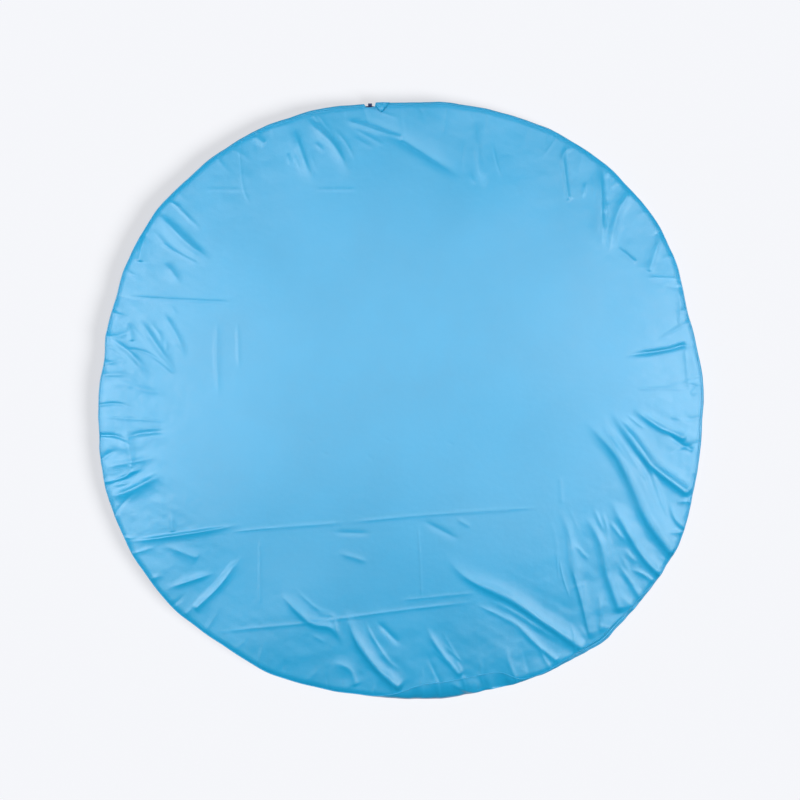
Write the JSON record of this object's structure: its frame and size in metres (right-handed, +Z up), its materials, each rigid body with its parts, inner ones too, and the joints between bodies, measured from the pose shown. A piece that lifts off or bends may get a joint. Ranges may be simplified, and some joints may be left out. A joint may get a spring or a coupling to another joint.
{
  "type": "spa cover",
  "caption": "Round fitted spa cover of satin PVC film, lying flat with its skirt turned under, its gathered hem holding an elastic drawcord with a sprung cord lock.",
  "frame": {"origin": "centre of the cover's outline, on the floor that it lies on", "axes": "+Z up; +X along the longer side; +Y towards the cord lock at the back rim"},
  "size_m": [1.7998, 1.775, 0.048],
  "materials": {
    "film": "satin soft PVC film, light sky blue",
    "piping": "satin, a little deeper blue",
    "cord": "braided sleeve over rubber strands",
    "grommet": "matt",
    "lock_plastic": "moulded navy plastic, fine texture",
    "spring_wire": "drawn wire"
  },
  "bodies": {
    "cover": {"top_panel": "film", "rim_piping": "piping", "skirt_right": "film", "skirt_right_back": "film", "skirt_back_right_half": "film", "skirt_back_left_half": "film", "skirt_left_back": "film", "skirt_left": "film", "skirt_left_front": "film", "skirt_front_left_half": "film", "skirt_front_right_half": "film", "skirt_right_front": "film", "hem_casing_right": "film", "hem_casing_right_back": "film", "hem_casing_back_right_half": "film", "hem_casing_back_left_half": "film", "hem_casing_left_back": "film", "hem_casing_left": "film", "hem_casing_left_front": "film", "hem_casing_front_left_half": "film", "hem_casing_front_right_half": "film", "hem_casing_right_front": "film", "keeper_tab": "film", "drawcord": "cord", "cord_end": "lock_plastic", "cord_grommet_left": "grommet", "cord_grommet_right": "grommet"},
    "cord_lock": {"lock_body": "lock_plastic", "lock_spring": "spring_wire"},
    "lock_button": {"lock_plunger": "lock_plastic"}
  },
  "joints": [
    {"name": "lock_slide", "type": "slide", "parent": "cover", "child": "cord_lock", "axis": [0, -1, 0], "range_m": [0, 0.025]},
    {"name": "button_press", "type": "slide", "parent": "cord_lock", "child": "lock_button", "axis": [-1, 0, 0], "range_m": [0, 0.003], "stiffness_N_per_m": 900, "springref_m": -0.002, "deforming": ["lock_spring"]}
  ]
}
